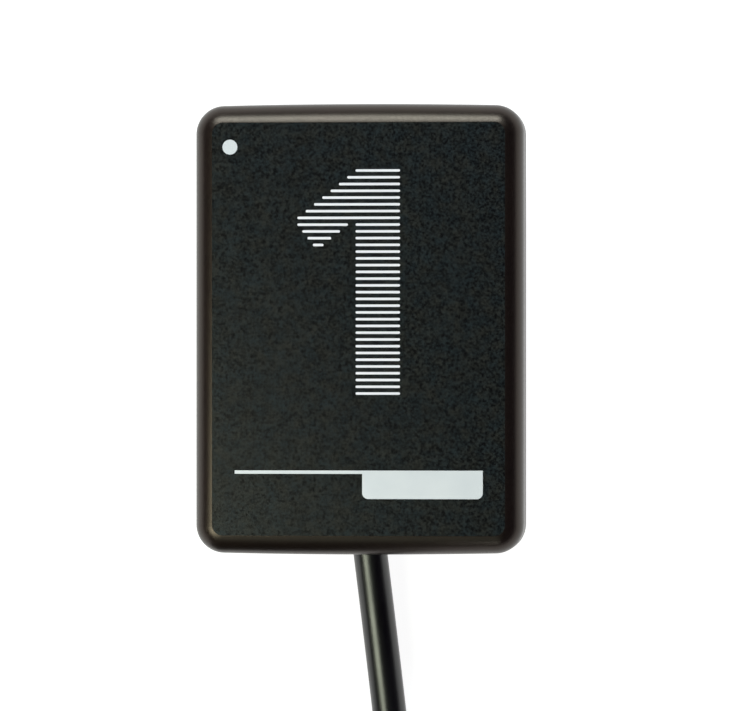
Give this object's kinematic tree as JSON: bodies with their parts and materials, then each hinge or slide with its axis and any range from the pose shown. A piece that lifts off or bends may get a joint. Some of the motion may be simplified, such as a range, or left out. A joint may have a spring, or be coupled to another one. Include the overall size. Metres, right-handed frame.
{
  "type": "intraoral x-ray sensor",
  "caption": "Flat intraoral x-ray sensor head with a creased face, rear cable boss, layered detector inside, coiled thin lead and USB plug.",
  "frame": {"origin": "under the middle of the sensor head, on the surface that it rests on", "axes": "+Z out of the active face, +Y towards the end of the head away from the cable, +X to the right seen on the active face"},
  "size_m": [0.0585, 0.0986, 0.0282],
  "materials": {
    "housing": "fine matte, near black",
    "seal": "matte black",
    "silicone": "grey silicone sheet",
    "scintillator": "chalky off-white",
    "fibre_glass": "polished fused fibre",
    "silicon": "polished violet-grey silicon",
    "board": "green solder mask",
    "shield_metal": "dull lead grey",
    "chip_package": "matte epoxy",
    "capacitor_body": "tan ceramic",
    "white_plastic": "satin white",
    "boot_rubber": "satin black",
    "cable_jacket": "smooth satin black",
    "red_insulation": "satin red",
    "black_insulation": "satin black",
    "green_insulation": "satin green",
    "tie_fabric": "woven black tape",
    "steel": "nickel-plated steel",
    "contact_metal": "gold-plated",
    "plug_plastic": "fine matte black"
  },
  "bodies": {
    "root": {"front_shell": "housing", "rear_shell": "housing", "perimeter_seal": "seal", "front_spacer": "silicone", "scintillator_plate": "scintillator", "fibre_optic_plate": "fibre_glass", "image_sensor_die": "silicon", "sensor_board": "board", "backscatter_shield": "shield_metal", "rear_spacer": "silicone", "controller_chip": "chip_package", "memory_chip": "chip_package", "regulator_chip": "chip_package", "timing_crystal": "steel", "capacitor_1": "capacitor_body", "capacitor_2": "capacitor_body", "capacitor_3": "capacitor_body", "capacitor_4": "capacitor_body", "wire_header": "white_plastic", "strain_relief_boot": "boot_rubber", "cable_anchor": "steel", "cable_jacket_end": "cable_jacket", "conductor_power": "red_insulation", "conductor_ground": "black_insulation", "conductor_data_minus": "white_plastic", "conductor_data_plus": "green_insulation", "cable_run": "cable_jacket", "cable_coil": "cable_jacket", "cable_tail": "cable_jacket", "coil_tie_near": "tie_fabric", "coil_tie_far": "tie_fabric", "usb_shell": "steel", "usb_tongue": "white_plastic", "usb_contact_power": "contact_metal", "usb_contact_data_minus": "contact_metal", "usb_contact_data_plus": "contact_metal", "usb_contact_ground": "contact_metal", "usb_overmould": "plug_plastic", "plug_strain_relief": "boot_rubber"}
  },
  "joints": []
}
